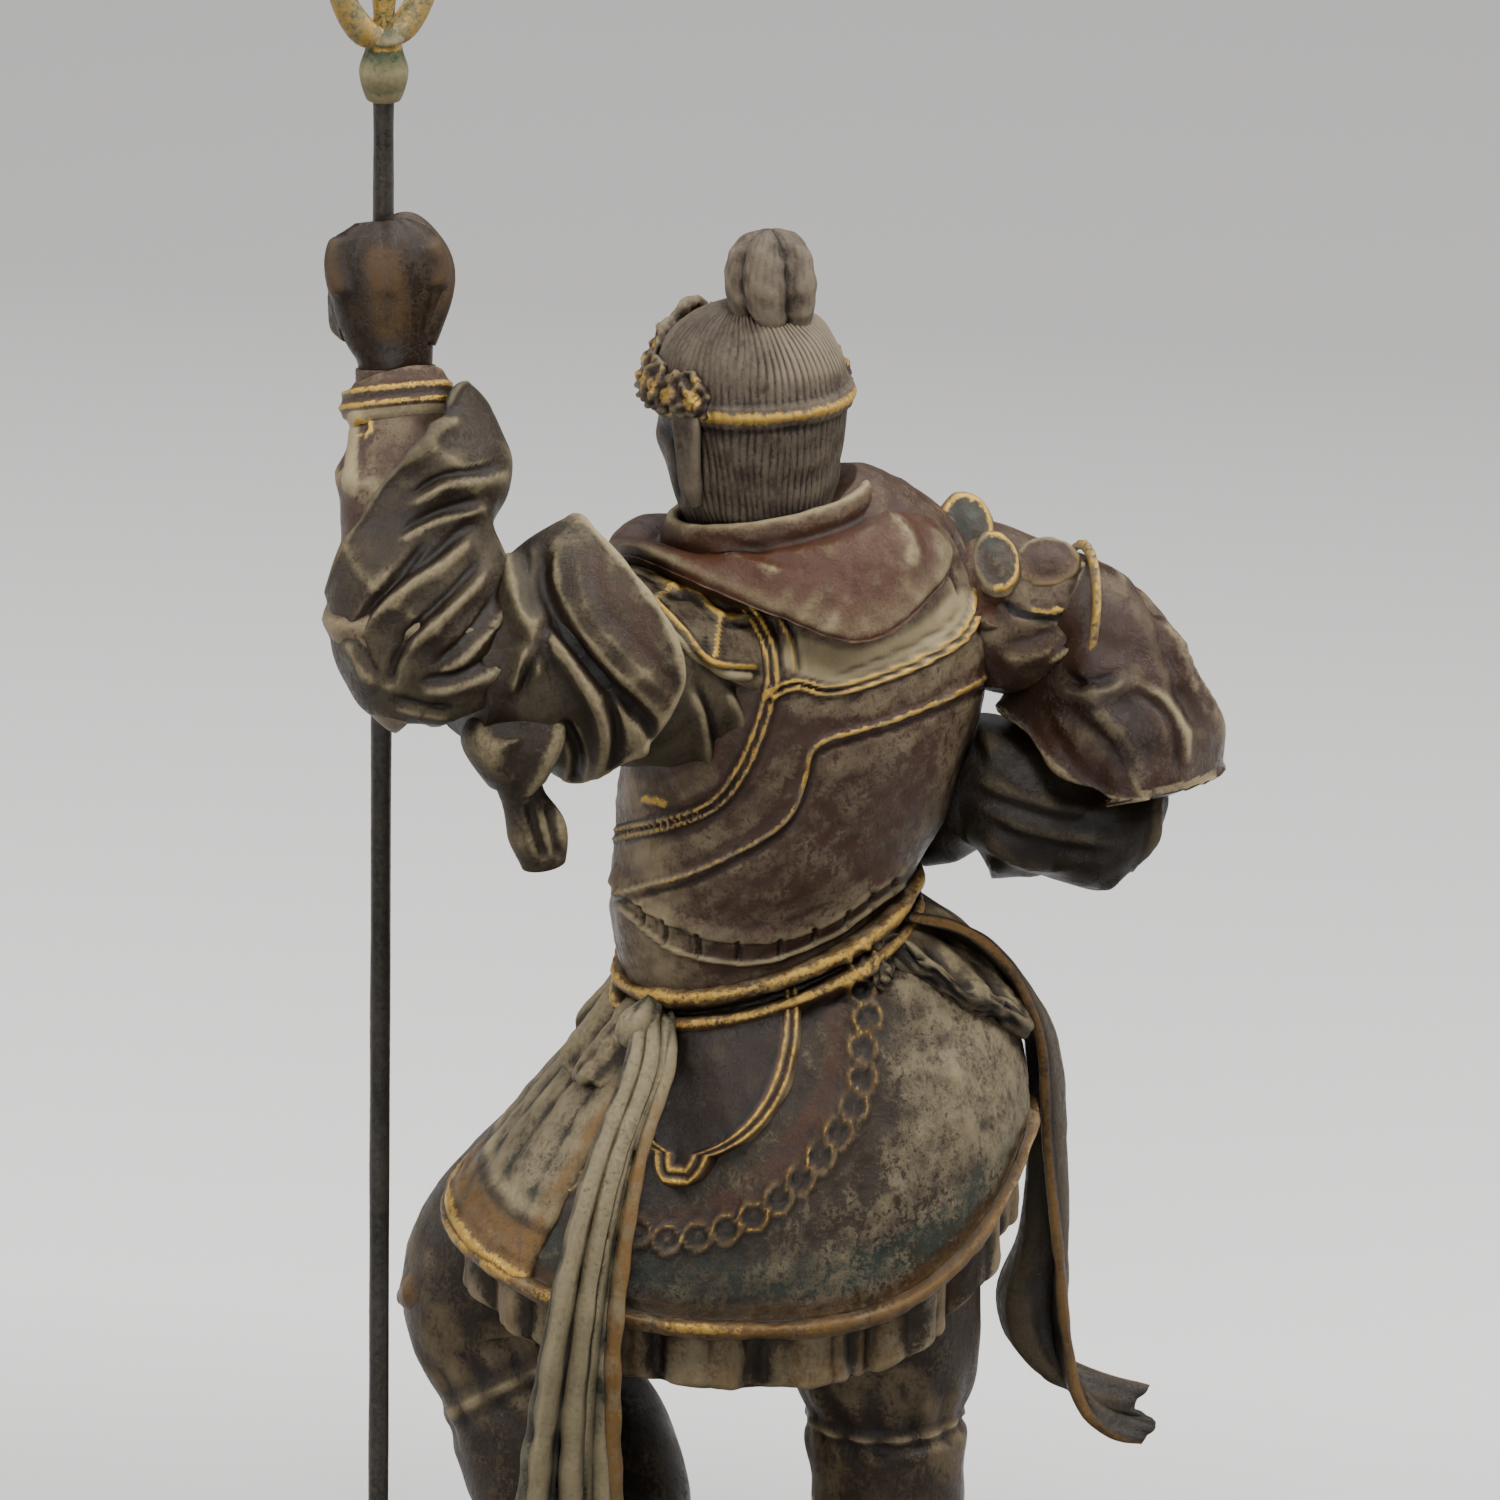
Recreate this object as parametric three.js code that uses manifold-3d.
// A guardian king cast in painted resin: armoured trunk, hip skirt, raised left arm with a trident spear, and
// right fist on the hip. The figure is one casting. It stands on a low rock with two ledges. The spear is a
// straight rod with a cast head, and passes through the left fist into a socket in the rock.
// Millimetres, +Z up. The figure's left is +X and its front is -Y. The origin is under the middle of the rock.
import * as THREE from "three";
import { ParametricGeometry } from "three/addons/geometries/ParametricGeometry.js";
import { mergeVertices } from "three/addons/utils/BufferGeometryUtils.js";
import Module from "manifold-3d";

const wasm = await Module();
wasm.setup();

// Driving sizes
const FIGURE_HEIGHT = 190; // soles to crown, below the topknot
const ROCK_LENGTH = 112; // along X
const ROCK_DEPTH = 84; // along Y
const ROCK_HEIGHT = 16; // to the ledge under the right foot
const STEP_HEIGHT = 8; // the left foot's ledge above the right foot's
const FIST_TOP = 201.7; // above the soles, of a figure 190 high
const SHAFT_RADIUS = 1.25;
const SHAFT_SHOWN = 14; // between the fist and the spear head
const SHAFT_FIT = 0.3; // gap round the rod in the fist, the rock and the head
const SOCKET_DEPTH = 8; // rod in the rock
const HEAD_SOCKET_DEPTH = 5; // rod in the spear head
const HEAD_LENGTH = 44;
const HEAD_SPREAD = 15; // over the side prongs
const SEAT_GAP = 0.3; // between the soles and the rock

// All the stations below are for a figure 190 high, and are scaled to FIGURE_HEIGHT.
const SCALE = FIGURE_HEIGHT / 190;
const SHAFT_LENGTH = SOCKET_DEPTH + SEAT_GAP + FIST_TOP * SCALE + SHAFT_SHOWN + HEAD_SOCKET_DEPTH;
const GRIP = { x: 39.8 * SCALE, y: 3 * SCALE }; // where the rod crosses the fist
const LEFT_SOLE = STEP_HEIGHT / SCALE; // height of the left sole in the figure's own stations

const TAU = 2 * Math.PI;
const radians = (degrees) => (degrees * Math.PI) / 180;
const vec = (x, y, z) => new THREE.Vector3(x, y, z);
const mix = (a, b, t) => a + (b - a) * t;
const clamp = (x, low, high) => Math.min(high, Math.max(low, x));
const smooth = (low, high, x) => {
  const t = clamp((x - low) / (high - low), 0, 1);
  return t * t * (3 - 2 * t);
};
const bell = (x, width) => Math.exp(-((x / width) ** 2));
const wrapped = (u) => u - Math.round(u); // to -0.5 .. 0.5

// A smooth curve through rows of numbers, at v from 0 to 1 (Catmull-Rom).
function through(rows, v) {
  const last = rows.length - 1;
  const s = clamp(v, 0, 1) * last;
  const i = Math.min(Math.floor(s), last - 1);
  const t = s - i;
  const p = [-1, 0, 1, 2].map((k) => rows[clamp(i + k, 0, last)]);
  return p[1].map(
    (_, k) =>
      0.5 *
      (2 * p[1][k] +
        (p[2][k] - p[0][k]) * t +
        (2 * p[0][k] - 5 * p[1][k] + 4 * p[2][k] - p[3][k]) * t * t +
        (3 * p[1][k] - p[0][k] - 3 * p[2][k] + p[3][k]) * t * t * t),
  );
}

// A closed geometry as a solid. Seams are merged, and triangles that shrink to a line at a pole are dropped.
function solid(geometry) {
  const bare = new THREE.BufferGeometry().setAttribute("position", geometry.getAttribute("position"));
  if (geometry.index) bare.setIndex(geometry.index);
  const merged = mergeVertices(bare, 1e-4);
  const order = [];
  for (let i = 0; i < merged.index.count; i += 3) {
    const corners = [0, 1, 2].map((k) => merged.index.getX(i + k));
    if (new Set(corners).size === 3) order.push(corners);
  }
  const make = (corners) =>
    new wasm.Manifold(
      new wasm.Mesh({
        numProp: 3,
        vertProperties: new Float32Array(merged.getAttribute("position").array),
        triVerts: new Uint32Array(corners.flat()),
      }),
    );
  const made = make(order);
  return made.volume() > 0 ? made : make(order.map(([a, b, c]) => [a, c, b]));
}

// A closed skin: u runs round it, v from one end to the other, and both ends are closed at their middle.
function skin(surface, around, along) {
  const middle = (v) => {
    const sum = vec(0, 0, 0);
    for (let i = 0; i < around; i++) sum.add(surface(i / around, v));
    return sum.divideScalar(around);
  };
  const rows = along + 2;
  const capped = (u, v, target) => {
    const row = Math.round(v * rows);
    const turn = Math.round(u * around) % around;
    if (row === 0 || row === rows) target.copy(middle(row ? 1 : 0));
    else target.copy(surface(turn / around, (row - 1) / along));
  };
  return solid(new ParametricGeometry(capped, around, rows));
}

// A closed ring: u runs round the ring, v round its section.
function hoop(surface, around, section) {
  const closed = (u, v, target) => {
    const [i, j] = [Math.round(u * around) % around, Math.round(v * section) % section];
    target.copy(surface(i / around, j / section));
  };
  return solid(new ParametricGeometry(closed, around, section));
}

// A ring whose section is a list of points, placed by a function of the turn u and the point
const profiled = (place, profile, around) =>
  hoop((u, v) => place(u, ...profile[Math.round(v * profile.length) % profile.length]), around, profile.length);

// Cloth or plate of one thickness, whose middle surface is given over s and t from 0 to 1.
function slab(surface, across, along, thickness) {
  const d = 1e-3;
  const side = (offset) => {
    const face = (s, t, target) => {
      const ds = surface(Math.min(s + d, 1), t).sub(surface(Math.max(s - d, 0), t));
      const dt = surface(s, Math.min(t + d, 1)).sub(surface(s, Math.max(t - d, 0)));
      target.copy(surface(s, t).addScaledVector(ds.cross(dt).normalize(), offset));
    };
    return new ParametricGeometry(face, across, along);
  };
  const [upper, lower] = [side(thickness / 2), side(-thickness / 2)];
  const columns = across + 1;
  const count = columns * (along + 1);
  const positions = [...upper.getAttribute("position").array, ...lower.getAttribute("position").array];
  const top = [...upper.index.array];
  const bottom = [...lower.index.array].map((i) => i + count);
  for (let i = 0; i < bottom.length; i += 3) [bottom[i], bottom[i + 1]] = [bottom[i + 1], bottom[i]];
  const rim = [];
  for (let i = 0; i <= across; i++) rim.push(i);
  for (let j = 1; j <= along; j++) rim.push(j * columns + across);
  for (let i = across - 1; i >= 0; i--) rim.push(along * columns + i);
  for (let j = along - 1; j > 0; j--) rim.push(j * columns);
  const edge = rim.flatMap((a, i) => {
    const b = rim[(i + 1) % rim.length];
    return [b, a, a + count, b, a + count, b + count];
  });
  const geometry = new THREE.BufferGeometry();
  geometry.setAttribute("position", new THREE.Float32BufferAttribute(positions, 3));
  geometry.setIndex([...top, ...bottom, ...edge]);
  return solid(geometry);
}

const fuse = (solids) => solids.reduce((whole, next) => whole.add(next));

// A limb or trunk: oval sections carried along stations [x, y, z, half width, half depth, turn in degrees].
// The half width lies along side, and swell(u, v) raises the surface.
function limb(rows, side, swell = () => 0) {
  const reference = vec(...side).normalize();
  const d = 1e-3;
  return (u, v, inset = 0) => {
    const [x, y, z, a, b, turn = 0] = through(rows, v);
    const [ahead, behind] = [through(rows, v + d), through(rows, v - d)];
    const tangent = vec(ahead[0] - behind[0], ahead[1] - behind[1], ahead[2] - behind[2]).normalize();
    const s = reference.clone().addScaledVector(tangent, -reference.dot(tangent)).normalize();
    s.applyAxisAngle(tangent, radians(turn));
    const n = tangent.clone().cross(s);
    const h = swell(u, v) - inset;
    return vec(x, y, z)
      .addScaledVector(s, (a + h) * Math.cos(TAU * u))
      .addScaledVector(n, (b + h) * Math.sin(TAU * u));
  };
}

// A bell or sleeve end: out along the skin to the rim at v = 1, then back inside it as far as depth.
function cup(surface, wall, depth) {
  const rim = 0.7;
  return (u, v) =>
    v < rim + 1e-6 ? surface(u, Math.min(v / rim, 1)) : surface(u, 1 - (depth * (v - rim)) / (1 - rim), wall);
}

// A thin round cord through points, closed or open.
function cord(points, radius, steps, closed = false) {
  const curve = new THREE.CatmullRomCurve3(points, closed);
  const { normals, binormals } = curve.computeFrenetFrames(steps, closed);
  const around = (u, v) => {
    const i = Math.round(v * steps);
    const p = curve.getPointAt(closed ? (i % steps) / steps : i / steps);
    p.addScaledVector(normals[i], radius * Math.cos(TAU * u));
    return p.addScaledVector(binormals[i], radius * Math.sin(TAU * u));
  };
  return closed ? hoop((u, v) => around(v, u), steps, 4) : skin(around, 4, steps);
}

// Pleats round a skin, with rounded crests and sharper valleys. turns says how far they spiral along it.
const pleats = (u, v, count, turns) => Math.abs(Math.sin(Math.PI * (count * u + turns * v)));

// The trunk: [x, y, z, half width, half depth, turn], from the hips to the neck
const TRUNK = [
  [-5, 0, 98, 14.4, 12, 4],
  [-4.4, 0.4, 106, 14.9, 12.2, 8],
  [-3.7, 0.8, 112, 16, 12.8, 11],
  [-4.1, 1, 118, 17.2, 13.6, 14],
  [-6.1, 1, 126, 19, 15, 20],
  [-8.4, 0.6, 134, 20.8, 15.9, 25],
  [-9.9, 0.2, 142, 22, 16.3, 28],
  [-10.3, 0, 148, 22.4, 15.8, 30],
  [-10, 0, 154, 21.2, 14, 30],
  [-8.4, 0, 159.5, 16.4, 11.4, 30],
  [-6, 0, 164, 11, 9.4, 30],
];
const trunk = limb(TRUNK, [1, 0, 0]);

// The point of the back at this x and z, raised by out
function onBack(x, z, out = 0) {
  let [low, high] = [0, 1];
  for (let i = 0; i < 30; i++) {
    const v = (low + high) / 2;
    if (through(TRUNK, v)[2] < z) low = v;
    else high = v;
  }
  const [cx, , , a, b, turn] = through(TRUNK, low);
  const [c, s] = [a * Math.cos(radians(turn)), b * Math.sin(radians(turn))];
  const u = (Math.acos(clamp((x - cx) / Math.hypot(c, s), -1, 1)) - Math.atan2(s, c)) / TAU;
  return trunk(u, low, -out);
}

// Raised rims of the back plate, as [x, z]: round the left armhole, and across the shoulder blades
const ARMHOLE_RIM = [
  [1.5, 161.5],
  [-2.5, 157],
  [-4.8, 152.6],
  [-5.5, 146.7],
  [-4.6, 141.9],
  [-2.4, 135.8],
  [3.4, 130.8],
  [11.8, 125.4],
];
const TOP_RIM = [[-5.5, 146.7], [-8, 149.1], [-13.8, 149.2], [-20.8, 150.8], [-29.4, 154.2]];

function backRims() {
  const rim = (line, steps) => cord(line.map(([x, z]) => onBack(x, z, 0.1)), 1.1, steps);
  return [rim(ARMHOLE_RIM, 8), rim(TOP_RIM, 5)];
}

// The belt's plane dips to the left and to the back.
const WAIST = { x: -5.8, y: 0.6, wide: 15.6, deep: 12.4 };
const beltHeight = (x, y) => 109.5 - 0.376 * x - 0.156 * y;

// A low round boss facing forward: a breast plate or the belt's clasp
function boss(radius, height) {
  const side = [[0, -4], [radius, -4], [radius, 0], [radius - 1.4, 0.9]];
  const profile = [...side, [radius * 0.45, height * 0.8], [0, height]];
  const shape = new THREE.LatheGeometry(profile.map(([r, h]) => new THREE.Vector2(r, h)), 9);
  return solid(shape.rotateX(radians(180)));
}

// Two round breast plates turned with the trunk, and the clasp of the belt
function frontPlates() {
  const plate = (across) => {
    const turn = radians(30);
    const front = 14.2;
    const x = -10 + across * Math.cos(turn) + front * Math.sin(turn);
    const y = across * Math.sin(turn) - front * Math.cos(turn);
    return boss(8, 2.4).rotate([-8, 0, 30 + across * 1.6]).translate([x, y, 146]);
  };
  const clasp = boss(5.4, 2).rotate([0, 0, 6]).translate([-5, -14.4, beltHeight(-5, -14) - 1.2]);
  return [plate(-9.4), plate(9.4), clasp];
}

// The standing collar and, under it, the leather cape. The cape's edge is [reach, height] every 30 degrees,
// from the left by the back and the right to the front.
const NECK = { x: -5.1, y: 0.4, wide: 11.4, deep: 10.8 };
const collarHeight = (x, y) => 165.5 - 0.2 * (x - NECK.x) + 0.12 * y;
const CAPE_MIDDLE = { x: -6.6, y: 0 };
const CAPE_EDGE = [
  [20.2, 159.6],
  [18.8, 162],
  [18, 161.6],
  [18, 159],
  [20, 156.2],
  [20.4, 159.2],
  [19.8, 161.4],
  [18.4, 161.4],
  [16.6, 159.4],
  [15.4, 156.5],
  [16, 156],
  [17.6, 159.4],
];

function collarPoint(u, out, up) {
  const [c, s] = [Math.cos(TAU * u), Math.sin(TAU * u)];
  const [x, y] = [NECK.x + (NECK.wide + out) * c, NECK.y + (NECK.deep + out) * s];
  return vec(x, y, collarHeight(x, y) + up);
}

// out runs from the collar's foot at 0 to the edge at 1.
function capePoint(u, out, up) {
  const foot = collarPoint(u, 1.2, -2.4);
  const [reach, height] = through([...CAPE_EDGE, CAPE_EDGE[0]], u);
  const [c, s] = [Math.cos(TAU * u), Math.sin(TAU * u)];
  const [x, y] = [CAPE_MIDDLE.x + reach * c, CAPE_MIDDLE.y + reach * s];
  return vec(mix(foot.x, x, out), mix(foot.y, y, out), mix(foot.z, height, out ** 1.5) + up);
}

function collarAndCape() {
  const profile = [
    [collarPoint, -1.7, -7],
    [collarPoint, -1.2, -0.4],
    [collarPoint, 0.1, 0.8],
    [collarPoint, 1, -0.8],
    [capePoint, 0, 0],
    [capePoint, 0.5, 1],
    [capePoint, 1, 0.3],
    [capePoint, 0.94, -1.6],
    [capePoint, 0.1, -5.6],
  ];
  return profiled((u, point, out, up) => point(u, out, up), profile, 20);
}

// The head: levels from under the chin to the crown as [height, half width, reach forward, reach back]
const HEAD_AT = vec(-2.9, -0.6, 176.4);
const HEAD_TURN = radians(42);
const HEAD_NOD = radians(7);
const HEAD_LEVELS = [
  [-15, 7.2, 5.5, 8],
  [-12.6, 7.6, 9.4, 9.2],
  [-9, 8.8, 10.6, 10.4],
  [-4, 9.7, 11, 11.6],
  [1, 10.3, 11, 12.8],
  [5, 10.4, 11, 12.9],
  [9, 9.2, 9.6, 11.6],
  [12, 6.4, 6.4, 8.4],
  [13.4, 2.6, 2.4, 3.6],
];

// From the head's own frame (left, back, up) to the figure's
function fromHead(left, back, up) {
  const nodded = vec(left, back, up).applyAxisAngle(vec(1, 0, 0), HEAD_NOD);
  return nodded.applyAxisAngle(vec(0, 0, 1), HEAD_TURN).add(HEAD_AT);
}

// Nose, brow, eyes, cheeks, lips and chin, as heights over the plain oval. side is the angle from the nose.
function features(side, up) {
  const degrees = Math.abs((side * 180) / Math.PI);
  let height = 2.6 * bell(degrees, 9 + 5 * smooth(2, -4, up)) * bell(up + 3.6, 2);
  height += 1.4 * bell(degrees, 8) * bell(up - 0.6, 3);
  height += 1.1 * bell(degrees - 24, 16) * bell(up - 3.4, 1.3);
  height -= 1.1 * bell(degrees - 25, 11) * bell(up - 0.8, 1.6);
  height += 0.7 * bell(degrees - 25, 8) * bell(up - 0.7, 1);
  height += 0.8 * bell(degrees - 40, 14) * bell(up + 2.6, 2.4);
  height += 0.8 * bell(degrees, 17) * bell(up + 7.4, 0.9);
  height += 1 * bell(degrees, 16) * bell(up + 11.6, 1.6);
  return height;
}

function headPoint(u, v, lift = 0) {
  const [up, wide, front, back] = through(HEAD_LEVELS, v);
  const angle = TAU * u; // 0 at the left ear, a quarter turn at the back
  const [c, s] = [Math.cos(angle), Math.sin(angle)];
  const side = Math.abs(wrapped(u + 0.25)) * TAU; // from the nose
  const h = lift + features(side, up) + 0.9 * bell(up - 2.6, 1.1);
  return fromHead((wide + h) * c, (s > 0 ? back + h : front + h) * s, up);
}

function ear(side) {
  const rows = [
    [side * 9.9, 0.6, -8.6, 0.9, 1],
    [side * 10.6, 0.9, -5.5, 1.1, 1.5],
    [side * 10.9, 1.2, -1.5, 1.1, 2],
    [side * 11.2, 1.6, 2, 1, 2.3],
    [side * 10.9, 1.4, 4.2, 0.7, 1.2],
  ];
  const shape = limb(rows, [1, 0, 0]);
  return skin((u, v) => {
    const p = shape(u, v);
    return fromHead(p.x, p.y, p.z);
  }, 6, 4);
}

// The tiara's lobed crest, rising from both temples to the middle of the brow
function tiara() {
  const crest = (s, t) => {
    const u = 0.75 + (s - 0.5) * 0.62;
    const lobes = Math.abs(Math.cos(Math.PI * 7 * (s - 0.5)));
    const rise = 3 + 6 * bell(s - 0.5, 0.18) + 1.5 * lobes;
    const foot = headPoint(u, 0.55, 0.4);
    const lean = fromHead(0, 0, 1).sub(HEAD_AT).multiplyScalar(rise * t);
    const inward = fromHead(0, 0, 0).sub(foot).setZ(0).normalize().multiplyScalar(0.42 * rise * t * t);
    return foot.add(lean).add(inward);
  };
  return slab(crest, 10, 1, 1.2);
}

// The topknot: a loop of hair in rounded lobes
function topknot() {
  const rows = [
    [-0.4, 4.6, 8.2, 3, 3],
    [-0.7, 4.6, 11, 4.5, 4.6],
    [-1.1, 4.3, 15.4, 5.1, 5],
    [-1.4, 4, 19.4, 4.7, 4.4],
    [-1.6, 3.8, 21.4, 3.2, 3],
    [-1.7, 3.7, 22.3, 1.2, 1.2],
  ];
  const shape = limb(rows, [1, 0, 0], (u) => 0.9 * pleats(u, 0, 5, 0) - 0.5);
  return skin((u, v) => {
    const p = shape(u, v);
    return fromHead(p.x, p.y, p.z);
  }, 10, 4);
}

function head() {
  const neck = [[-6, 0, 156, 8.4, 8.4], [-3.8, 0, 172, 8, 8]];
  return [skin(headPoint, 16, 14), skin(limb(neck, [1, 0, 0]), 8, 1), ear(1), ear(-1), tiara(), topknot()];
}

// Hands
// Four fingers side by side, bent along a path. high is the direction from one finger to the next.
function fingers(path, high, span, thick) {
  const knuckles = [0, 1, 2, 3].map((i) => mix(-span, span, (i + 0.5) / 4));
  const grooves = [1, 2, 3].map((i) => mix(-span, span, i / 4));
  const outer = [...knuckles.map((h) => [h, thick]), ...grooves.map((h) => [h, thick * 0.5])];
  outer.sort((a, b) => a[0] - b[0]);
  const profile = [[-span, 0], ...outer, [span, 0], [span * 0.9, -thick], [-span * 0.9, -thick]];
  const d = 1e-3;
  return skin((u, v) => {
    const [h, out] = profile[Math.round(u * profile.length) % profile.length];
    const p = vec(...through(path, v));
    const along = vec(...through(path, v + d)).sub(vec(...through(path, v - d)));
    const normal = along.cross(high).normalize();
    return p.addScaledVector(high, h * (1 - 0.12 * (2 * v - 1) ** 2)).addScaledVector(normal, out);
  }, profile.length, 4);
}

function thumb(points, radius) {
  const last = points.length - 1;
  const thick = (i) => (i === 0 || i === last ? radius * 0.6 : radius);
  return skin(limb(points.map(([x, y, z], i) => [x, y, z, thick(i), thick(i)]), [0, 0, 1]), 6, 4);
}

// The raised fist, closed round the rod from the palm side
function leftHand() {
  const palm = [
    [38, 9.2, 181, 4.3, 3.8],
    [38.2, 8.8, 186, 4.4, 3.7],
    [39, 8, 190, 5.7, 4.1],
    [39.3, 7.2, 195.4, 7, 4.5],
    [39.6, 6.2, 199.6, 6, 3.6],
    [39.8, 5.6, 201.6, 3.2, 2],
  ];
  const wrap = [[43, 8.4, 193], [44.4, 3.6, 193], [41.6, -0.8, 192.6], [37.6, -1.2, 192.2], [36, 2.6, 192.4]];
  return [
    skin(limb(palm, [1, 0, 0]), 11, 5),
    fingers(wrap, vec(0, 0, 1), 6.2, 1.7),
    thumb([[35, 9, 188], [33.8, 7, 193], [34.4, 3.4, 196.8], [37, -0.6, 198], [40, -2.2, 197.6]], 2.3),
  ];
}

// The raised left arm in its sleeves
const LEFT_UPPER = [
  [-1, 7, 147, 10.6, 9.6],
  [7, 11, 148, 10.8, 10.2],
  [17, 17.4, 150.6, 10, 10],
  [27, 23, 152, 8, 8],
];
const LEFT_FORE = [
  [32.6, 27, 147.6, 4, 4],
  [33, 26.8, 150, 7.2, 6.8],
  [34.2, 25.4, 154.6, 9.2, 8.6],
  [35.4, 22.4, 160, 9.8, 9],
  [36, 18.8, 167, 8.8, 8],
  [36.8, 14.4, 175, 7.4, 6.8],
  [37.5, 11.2, 179.6, 5.6, 5.2],
  [37.6, 10.8, 180.2, 6.6, 6.2],
  [37.9, 9.7, 182.8, 6.2, 5.8],
  [38, 9.4, 183.4, 4.9, 4.6],
  [38.1, 9, 185, 4.6, 4.2],
];
const LEFT_SLEEVE = [
  [31.6, 27, 147.8, 4.4, 4.2],
  [32.4, 26.6, 150.4, 8, 7.6],
  [34.2, 25, 155.4, 10.2, 9.6],
  [35.2, 22, 161.6, 10.8, 10],
  [35.8, 18, 168.6, 9.6, 9],
  [35.4, 14.6, 174.6, 11.4, 9.2],
  [36, 12.4, 179.6, 8.8, 7.6],
  [36.6, 11.2, 182, 6.6, 6.4],
];
const LEFT_FIN = {
  rows: [
    [30.5, 25, 153.6, 8, 7.8],
    [27, 23, 153.8, 9.4, 8.6],
    [22.6, 20.8, 154, 12.4, 10.6],
    [17, 17.8, 153.8, 15.6, 13],
    [9, 13.6, 152.8, 16.8, 14],
  ],
  side: [0, 0, 1],
  pleatCount: 4,
  rim: (u) => 0.93 - 0.18 * Math.abs(Math.cos(TAU * u)) ** 1.5,
};

function leftArm() {
  const spiral = (u, v) => 1.7 * (pleats(u, v, 1, 5) - 0.55) * smooth(0.05, 0.25, v) * smooth(0.58, 0.45, v);
  const curl = [[24, 27, 151.4, 3.4, 3.2], [23.8, 27.4, 146.4, 6, 5.3], [23.4, 26.6, 141, 3.6, 3.2]];
  const tail = [
    [23.6, 26, 142, 3, 2.9],
    [22.6, 26, 138.4, 2.6, 2.5],
    [21, 25.4, 134, 3.5, 3],
    [20.2, 25, 129.8, 2.6, 2],
  ];
  return [
    skin(limb(LEFT_UPPER, [0, 0, 1]), 12, 4),
    skin(limb(LEFT_FORE, [1, 0, 0], spiral), 12, LEFT_FORE.length - 1),
    foreSleeve(),
    finSleeve(LEFT_FIN),
    ...leftHand(),
    skin(limb(curl, [1, 0, 0]), 7, 3),
    skin(limb(tail, [1, 0, 0]), 6, 4),
  ];
}

// The wide sleeve over the left forearm. Its rim slants from a high point on the right to a low one on the
// left.
function foreSleeve() {
  const folds = (u, v) => 1.5 * (pleats(u, v, 3, 2.2) - 0.5) * smooth(0.1, 0.5, v);
  const shape = limb(LEFT_SLEEVE, [1, 0, 0], folds);
  const rim = (u) => 0.73 - 0.27 * Math.cos(TAU * u);
  return skin(cup((u, v, inset) => shape(u, v * rim(u), inset), 1.2, 0.16), 12, 8);
}

// A flared sleeve that opens like a bell, with folds spreading from its tie to its rim
function finSleeve({ rows, side, pleatCount, rim }) {
  const swell = (u, v) => 2.6 * (pleats(u, v, pleatCount, 0.7) - 0.5) * smooth(0.1, 0.9, v);
  const shape = limb(rows, side, swell);
  return skin(cup((u, v, inset) => shape(u, v * rim(u), inset), 1.3, 0.4), 15, 6);
}

// The right arm, bent, with its fist on the hip
const RIGHT_UPPER = [
  [-18, -7, 150.6, 9.6, 9.4],
  [-27, -9.2, 150.2, 9, 10.2],
  [-35, -8.4, 148.6, 7.6, 9.6],
  [-41, -7.6, 147.8, 6.6, 8.4],
  [-46, -7, 144, 7, 7.6],
  [-48.6, -7, 137, 7, 7],
  [-49.2, -7.4, 129, 6, 6],
];
const RIGHT_FORE = [
  [-50.6, -6.8, 121.8, 5.6, 4.6],
  [-48.8, -6.8, 122.6, 8.8, 7],
  [-44.4, -7.4, 123.6, 9.4, 8],
  [-39, -8.2, 124.8, 9.6, 9.2],
  [-33, -8.8, 126, 9, 9.6],
  [-28.6, -9.6, 124.8, 6.8, 8],
  [-26, -11, 120.8, 4.8, 5],
  [-23.6, -12, 119.4, 4.4, 4.2],
];
const RIGHT_FIN = {
  rows: [
    [-40.6, -7.6, 150.8, 6.4, 6],
    [-43, -7.2, 149.4, 7.4, 6.6],
    [-45, -6.6, 144.6, 9.2, 8.8],
    [-45.6, -6, 138, 10.4, 12],
    [-45.4, -5.4, 130.4, 11, 14],
  ],
  side: [0, 1, 0],
  pleatCount: 4,
  rim: (u) => 0.93 - 0.13 * Math.sin(TAU * u) + 0.06 * Math.cos(TAU * 2 * u),
};

function rightArm() {
  const wraps = (u, v) => 1.3 * (pleats(u, v, 1, 3) - 0.5) * smooth(0.85, 0.6, v);
  const tie = (angle) => {
    const [c, s] = [Math.cos(angle), Math.sin(angle)];
    return vec(-42.2 + 1.6 * c, -7.6 + 6.6 * s, 150.6 + 6 * c);
  };
  return [
    skin(limb(RIGHT_UPPER, [0, 1, 0]), 12, 6),
    skin(limb(RIGHT_FORE, [0, 1, 0], wraps), 12, 7),
    finSleeve(RIGHT_FIN),
    cord([0, 1.25, 2.5, 3.75, 5].map(tie), 1.2, 9, true),
    fingers([[-26, -14.6, 119.4], [-23.4, -17, 119], [-20.6, -15.8, 118.4]], vec(0, 0, 1), 4.6, 1.5),
    thumb([[-27, -12, 123.4], [-25, -9.8, 124.6], [-22, -9.6, 123.4]], 1.9),
  ];
}

// Shoulder guards: a plate bent over the left shoulder, and overlapping lobes on the right one
const LEFT_GUARD = [
  [-2, 4, 147.4, 12, 12.4],
  [4.5, 7.4, 147.2, 12.3, 12.8],
  [11, 10.9, 147, 12.3, 12.6],
  [13, 12, 147, 12.3, 12.6],
];

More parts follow.
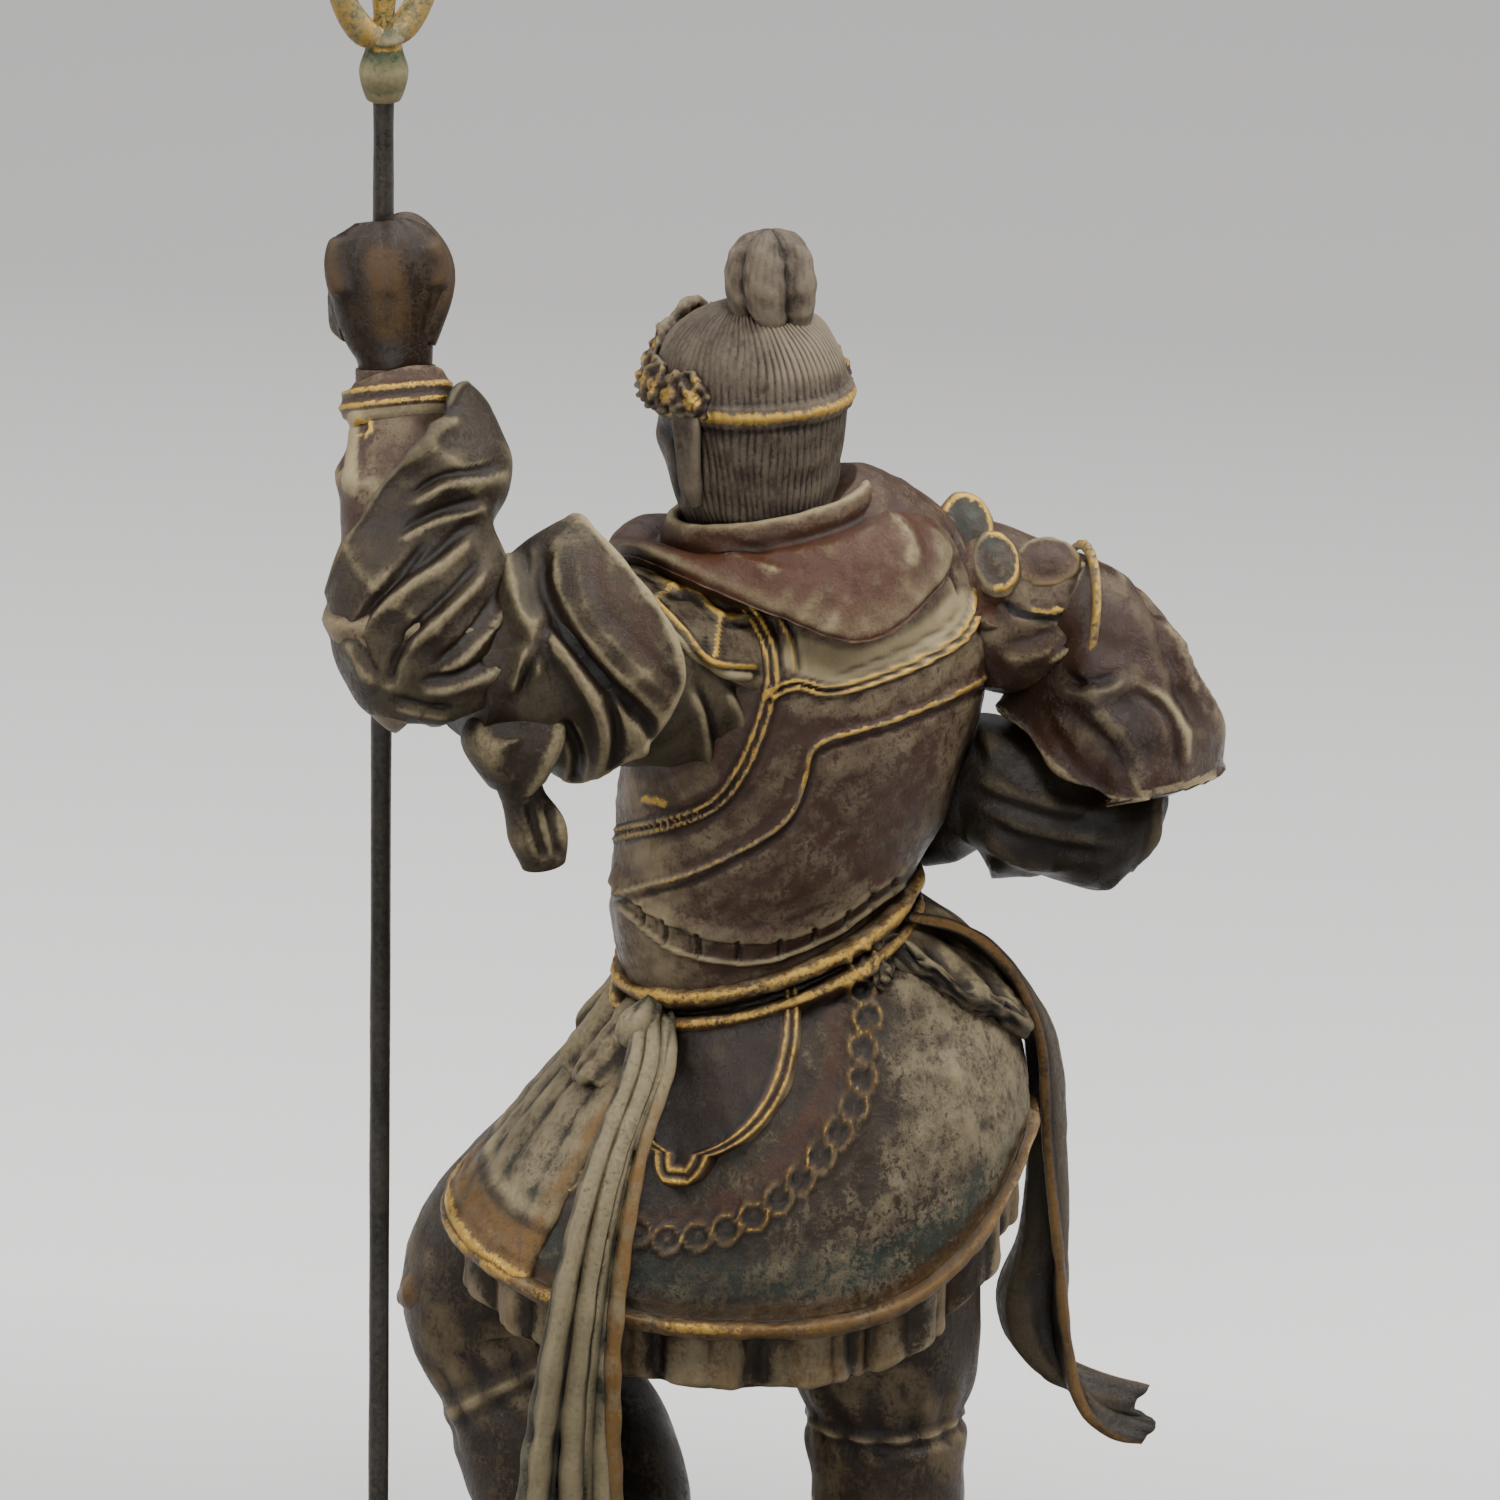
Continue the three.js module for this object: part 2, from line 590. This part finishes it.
function shoulderGuards() {
  const shape = limb(LEFT_GUARD, [0, 0, 1]);
  const plate = (s, t) => {
    const u = mix(0.24, -0.24, s);
    return shape(u, t * (0.98 - 1.8 * Math.hypot(u, 0.02) - 6.5 * u * u), 0.6);
  };
  const lobe = (x, y, z, r) => {
    const rows = [[x + 4, y - 3, z - 4, r, r], [x, y, z, r, r], [x - 1.6, y + 1.4, z + 1, r * 0.5, r * 0.5]];
    return skin(limb(rows, [0, 1, 0]), 8, 2);
  };
  return [
    slab(plate, 6, 2, 3),
    lobe(-26.6, -6.4, 156.6, 6.4),
    lobe(-31.6, -4.8, 154.4, 6),
    lobe(-37.4, -6.4, 153.6, 4.8),
  ];
}

// The hip skirt. side is an angle: 0 at the left, 90 degrees at the back. drop runs from the belt to the hem.
const HEM = { x: -3, y: -1, wide: 34.3, back: 28, front: 26 };
const hemHeight = (side) => {
  const [c, s] = [Math.cos(side), Math.sin(side)];
  return 71.6 + 2.6 * Math.max(c, 0) ** 2 + 16 * Math.max(-c, 0) ** 4 + 9 * Math.max(-s, 0) ** 2;
};

function skirt(side, drop, out = 0) {
  const [c, s] = [Math.cos(side), Math.sin(side)];
  const waist = vec(WAIST.x + WAIST.wide * c, WAIST.y + WAIST.deep * s, 0);
  waist.z = beltHeight(waist.x, waist.y) - 2.4;
  const hem = vec(HEM.x + HEM.wide * c, HEM.y + (s > 0 ? HEM.back : HEM.front) * s, hemHeight(side));
  const spread = 1 - Math.max(0, 1 - drop) ** (1.8 - 0.8 * c);
  return vec(
    mix(waist.x, hem.x, spread) + out * c,
    mix(waist.y, hem.y, spread) + out * s,
    mix(waist.z, hem.z, drop) + out * 0.35,
  );
}

// The belt's two cords, the skirt, its rolled hem and, below it, the pleated edge of the under-robe, in one
// skin. The profile runs down the outside and some way up inside, as [drop, out, up, share of the pleats'
// depth]. At the right, where the hem lifts, the pleated edge is longer.
const PLEATS = { count: 15, deep: 1.5, longer: 5.6 };
function skirtShell() {
  const cords = [[0, -1.4, 3.6, 0], [0, 2.4, 2.6, 0], [0, 1.6, 1, 0], [0, 2.8, -0.8, 0], [0, 1.2, -1.8, 0]];
  const cloth = [0.2, 0.42, 0.64, 0.84].map((drop) => [drop, 0, 0, 0]);
  const roll = [[1, 0.2, 1.2, 0], [1, 1.2, 0, 0], [1, 0.2, -1.2, 0], [1, -2.4, -0.6, 0.4]];
  const ruffle = [[1, -2.6, -7.2, 1], [1, -4.4, -7.2, 1], [1, -5.4, 0, 0]];
  const profile = [...cords, ...cloth, ...roll, ...ruffle, [0.65, -7, 0, 0]];
  return skin((u, v) => {
    const [drop, out, up, share] = profile[Math.round(v * (profile.length - 1))];
    const wave = PLEATS.deep * (2 * pleats(u, 0, PLEATS.count, 0) - 1);
    const p = skirt(TAU * u, drop, out + wave * share);
    const longer = PLEATS.longer * Math.max(-Math.cos(TAU * u), 0) ** 4 * smooth(-2, -7, up);
    return p.setZ(p.z + up - longer);
  }, PLEATS.count * 2, profile.length - 1);
}

// The left panel, which lifts over the thigh and ends in a thick rolled hem
function leftPanel() {
  return slab((s, t) => skirt(radians(mix(44, -34, s)), 0.12 + 0.89 * t, 0.4 * t - 0.2), 5, 3, 2.6);
}

// The leather flap under the back of the belt: a round plate that ends in a small lobe
const FLAP = { side: 74, reach: 0.577, half: 31, lobeHalf: 8.6 };

// Half width in degrees at a share of the flap's length
function flapHalf(t) {
  const plate = FLAP.half * Math.sqrt(Math.max(0, 1 - (t / 0.84) ** 2.4));
  const lobe = FLAP.lobeHalf * Math.sqrt(Math.max(0.03, 1 - clamp((t - 0.78) / 0.22, 0, 1) ** 2));
  return Math.max(plate, lobe);
}

function backFlap() {
  const flap = (s, t) => skirt(radians(FLAP.side + (2 * s - 1) * flapHalf(t)), FLAP.reach * t - 0.04, 0.2);
  return slab(flap, 6, 10, 3);
}

// Cloth hanging from the belt: the ragged apron on the right hip and the bunched scarf on the left
function hipCloths() {
  const apron = (s, t) => {
    const side = radians(mix(136, 226, s));
    const ragged = 0.025 * Math.cos(TAU * 4.5 * s);
    const reach = 0.06 + 0.5 * smooth(0.1, 0.44, s) + ragged;
    return skirt(side, -0.02 + reach * t, 0.2 + 0.8 * t);
  };
  const bunched = (s, t) => {
    const side = radians(mix(-36, 34, s) + 8 * t);
    const reach = 0.36 * t * (0.8 + 0.2 * Math.sin(Math.PI * s));
    return skirt(side, -0.03 + reach, 1.6 * pleats(s, t, 3, 0.2) - 0.6);
  };
  return [slab(apron, 9, 2, 2.8), slab(bunched, 6, 2, 3)];
}

// The sash tied at the left of the back, which falls over the skirt almost to the rock
const SASH = [
  [7.4, 13, 106, 2.2],
  [7.8, 18.4, 101.6, 2.6],
  [11.2, 24.8, 93, 3.1],
  [13.5, 28.4, 83, 3.7],
  [15, 29.8, 72, 4.3],
  [16, 28.6, 60, 5.2],
  [16.4, 27.6, 49, 6.1],
  [16.6, 27, 36, 6.8],
];

function leftSash() {
  const middle = (s, t) => {
    const [x, y, z, half] = through(SASH, t);
    const across = (s - 0.5) * 2;
    return vec(x + across * half, y + 1.1 * Math.cos(Math.PI * 2.6 * across) - 0.9 * across * across, z);
  };
  const knot = [[10.8, 10.6, 102.4, 1, 1], [9.2, 13.4, 104.6, 2.6, 2.2], [7.2, 12.6, 107.6, 1, 1]];
  return [slab(middle, 6, 9, 1.6), skin(limb(knot, [0, 1, 0]), 7, 3)];
}

// The scarf that blows out from the right hip, as [x, y, z, half width, turn], with its turned-up end
const SCARF = [
  [-21, 6, 116, 2, 20],
  [-26.6, 3.6, 114, 2.4, 26],
  [-31.6, 1.4, 109.8, 3, 44],
  [-36, -1.8, 103, 4, 66],
  [-38.8, -5.8, 95, 4.8, 78],
  [-39.8, -8.4, 83, 5.2, 80],
  [-39.8, -9.4, 68, 5.8, 62],
  [-38.6, -9.4, 58, 6, 36],
  [-41, -9, 51, 5, 34],
  [-46.6, -8.4, 46.8, 3.4, 50],
  [-52.6, -8, 45.2, 1.8, 70],
];

function rightScarf() {
  const middle = (s, t) => {
    const [x, y, z, half, turn] = through(SCARF, t);
    const across = (s - 0.5) * 2;
    const [c, n] = [Math.cos(radians(turn)), Math.sin(radians(turn))];
    const fold = 1.2 * Math.sin(Math.PI * across * 1.4) * smooth(0.1, 0.5, t);
    const hang = 3 * across * smooth(0.68, 0.85, t);
    return vec(x - across * half * c - fold * n, y + across * half * n - fold * c, z - hang);
  };
  return slab(middle, 4, 11, 1.6);
}

// Legs: puffed trousers, a gathered band under the knee, and a greave. soles is the height the leg starts from.
const RIGHT_LEG = [
  [-13, -0.2, 91, 12.6, 12.8],
  [-15.8, -0.4, 81, 12.6, 12.8],
  [-18.6, -0.8, 72, 12.2, 12.2],
  [-20.4, -0.8, 62, 11.6, 11.6],
  [-20.9, -0.4, 54, 10.8, 11],
  [-21, 0, 49, 9.2, 9.4],
  [-21.1, 0.2, 46, 9.9, 10],
  [-21.4, 0.8, 41.4, 9.1, 9.4],
  [-21.6, 1.4, 37, 9.2, 9.6],
  [-21.8, 2, 28, 8, 8.6],
  [-21.8, 2.4, 19, 6.4, 7],
  [-21.8, 2.4, 6, 5.6, 6.6],
];
const LEFT_LEG = [
  [4.6, -3, 91, 12.6, 12.4],
  [11.4, -7.6, 79, 12.6, 12.4],
  [19, -12, 70, 12.2, 12.4],
  [24.8, -15, 61, 12, 12],
  [24.6, -14.6, 53.6, 12, 11.4],
  [22.4, -12, 48, 10.8, 10.2],
  [20, -10, 44, 12.4, 11],
  [16.4, -6.6, 38, 12.8, 11],
  [12.8, -3, 31.6, 11.4, 10.2],
  [10.2, 0, 25.6, 8.4, 8.6],
  [9.2, 1.4, 20, 6.2, 6.8],
  [9, 1.6, 13, 5.6, 6.6],
];

function leg(rows, gather) {
  const creases = (u, v) => 0.8 * (pleats(u, v, 2, 2) - 0.5) * bell(v - gather, 0.22);
  return skin(limb(rows, [1, 0, 0], creases), 10, 10);
}

// A boot with its heel at x, y, on a sole at this height, turned to the left by so many degrees
function boot(x, y, sole, turn) {
  const [c, s] = [Math.cos(radians(turn)), Math.sin(radians(turn))];
  const place = (ahead, up, a, b) => [x + ahead * s, y - ahead * c, sole + up, a, b];
  const rows = [
    place(-7.4, 3.4, 2.6, 3.4),
    place(-4.4, 4.6, 4.8, 4.8),
    place(2, 5.4, 5, 5.6),
    place(9, 4, 5.4, 4.6),
    place(17, 3, 5.4, 3.6),
    place(22.6, 3.6, 2, 1.8),
  ];
  const shape = limb(rows, [1, 0, 0]);
  return skin((u, v) => {
    const p = shape(u, v);
    return p.setZ(Math.max(p.z, sole));
  }, 8, 5);
}

// A pointed fold of trouser cloth that stands out over the left knee
function kneeFold() {
  const rows = [
    [22, -9, 66, 9, 8.6],
    [30, -12.4, 60.6, 6.6, 7],
    [35.6, -14, 57.4, 3.2, 4.4],
    [37.8, -14.4, 56.4, 0.8, 1.4],
  ];
  return skin(limb(rows, [0, 0, 1]), 7, 3);
}

function legs() {
  const knee = 0.42; // share of a leg's stations at its gathered band
  return [
    leg(RIGHT_LEG, knee),
    leg(LEFT_LEG, knee),
    boot(-21.8, 2.6, 0, -16),
    boot(9, 1.8, LEFT_SOLE, 26),
    kneeFold(),
  ];
}

function figure() {
  const forms = [
    skin(trunk, 20, 9),
    ...backRims(),
    ...frontPlates(),
    collarAndCape(),
    ...head(),
    ...leftArm(),
    ...rightArm(),
    ...shoulderGuards(),
    skirtShell(),
    leftPanel(),
    backFlap(),
    ...hipCloths(),
    ...leftSash(),
    rightScarf(),
    ...legs(),
  ];
  const bore = rod(SHAFT_RADIUS + SHAFT_FIT, SHAFT_LENGTH).translate([GRIP.x, GRIP.y, 0]);
  return fuse(forms).scale(SCALE).subtract(bore);
}

// A round rod standing on z = 0
function rod(radius, length) {
  const shape = new THREE.CylinderGeometry(radius, radius, length, 16);
  shape.rotateX(radians(90)).translate(0, 0, length / 2);
  return solid(shape);
}

// The spear head, from the lip of its socket: a bulb, a leaf blade and two prongs that swing out in a crescent
const BULB = SHAFT_RADIUS + 1.6;
const SOCKET_PROFILE = [
  [0, 0],
  [SHAFT_RADIUS + 0.8, 0],
  [BULB - 0.2, 1.8],
  [BULB, 3.6],
  [BULB - 0.6, 5.6],
  [SHAFT_RADIUS + 0.9, 6.6],
  [BULB - 0.5, 7.6],
  [0, 9.4],
];
const BLADE = [
  [0, 0, 6, 1.2, 1.2],
  [0, 0, 12, 1.4, 1.3],
  [0, 0, 20, 3.2, 1.1],
  [0, 0, 30, 2.4, 0.9],
  [0, 0, HEAD_LENGTH, 0.2, 0.2],
];
// A prong's stations as [share of its reach, height, radius]
const PRONG = [[0, 7.4, 1.5], [0.45, 8.6, 1.7], [0.86, 13, 1.5], [1, 19, 1.3], [0.92, 25, 1], [0.8, 30, 0.2]];

function spearHead() {
  const socket = new THREE.LatheGeometry(SOCKET_PROFILE.map(([r, z]) => new THREE.Vector2(r, z)), 12);
  const reach = HEAD_SPREAD / 2 - 1.3;
  const prong = (side) => {
    const rows = PRONG.map(([out, z, r]) => [side * out * reach, 0, z, r, r]);
    return skin(limb(rows, [0, 1, 0]), 6, 6);
  };
  const barb = (side) => {
    const rows = [[side * reach, 0, 15.6, 0.9, 0.9], [side * (reach + 2.3), 0, 16.4, 0.3, 0.3]];
    return skin(limb(rows, [0, 1, 0]), 4, 1);
  };
  const blade = skin(limb(BLADE, [1, 0, 0]), 6, 6);
  const whole = fuse([solid(socket.rotateX(radians(90))), blade, prong(1), prong(-1), barb(1), barb(-1)]);
  return whole.subtract(rod(SHAFT_RADIUS + SHAFT_FIT, HEAD_SOCKET_DEPTH + SHAFT_FIT + 1).translate([0, 0, -1]));
}

// A crag of the rock with a flat foot and a flat top. seed changes its outline.
function crag(x, y, wide, deep, top, seed) {
  const ragged = (side, level) =>
    0.05 * Math.sin(5 * side + seed + 2 * level) + 0.035 * Math.sin(9 * side + 2.3 * seed - 3 * level);
  const levels = [[1, 0], [1, 0.16], [0.95, 0.3], [0.97, 0.56], [0.9, 0.7], [0.84, 1]];
  return skin((u, v) => {
    const [share, level] = levels[Math.round(v * (levels.length - 1))];
    const side = TAU * u;
    const [c, s] = [Math.cos(side), Math.sin(side)];
    const square = (Math.abs(c) ** 3 + Math.abs(s) ** 3) ** (-1 / 3);
    const reach = share * square * (1 + (level > 0 ? ragged(side, 6 * level) : 0));
    return vec(x + wide * reach * c, y + deep * reach * s, top * level);
  }, 18, levels.length - 1);
}

// The rock: two stepped crags with a flat underside, a flat ledge under each foot and the spear's socket
function rock() {
  const low = crag(0, 0, ROCK_LENGTH / 2.12, ROCK_DEPTH / 2.12, ROCK_HEIGHT, 1.4);
  const high = crag(19 * SCALE, -12 * SCALE, 19 * SCALE, 19 * SCALE, ROCK_HEIGHT + STEP_HEIGHT, 4.1);
  const socket = rod(SHAFT_RADIUS + SHAFT_FIT, ROCK_HEIGHT + STEP_HEIGHT);
  return fuse([low, high]).subtract(socket.translate([GRIP.x, GRIP.y, ROCK_HEIGHT - SOCKET_DEPTH - SHAFT_FIT]));
}

function finish(colour, roughness, metalness) {
  return new THREE.MeshStandardMaterial({ color: colour, roughness, metalness, flatShading: true });
}

function node(name, made, material) {
  const { vertProperties, triVerts } = made.getMesh();
  const geometry = new THREE.BufferGeometry();
  geometry.setAttribute("position", new THREE.BufferAttribute(vertProperties, 3));
  geometry.setIndex(new THREE.BufferAttribute(triVerts, 1));
  const mesh = new THREE.Mesh(geometry, material);
  mesh.name = name;
  return mesh;
}

const guardian = new THREE.Group();
guardian.name = "guardian_figure";

const body = node("figure", figure(), finish(0x6f6455, 0.72, 0));
body.position.set(0, 0, ROCK_HEIGHT + SEAT_GAP);
guardian.add(body, node("rock_base", rock(), finish(0x5a5348, 0.8, 0)));

const spear = new THREE.Group();
spear.name = "spear";
spear.position.set(GRIP.x, GRIP.y, ROCK_HEIGHT - SOCKET_DEPTH);
spear.rotation.z = radians(28);
const point = node("spear_head", spearHead(), finish(0x8c8148, 0.45, 0.5));
point.position.z = SHAFT_LENGTH - HEAD_SOCKET_DEPTH;
spear.add(node("spear_shaft", rod(SHAFT_RADIUS, SHAFT_LENGTH), finish(0x2a2c2c, 0.5, 0.2)), point);
guardian.add(spear);

export default guardian;
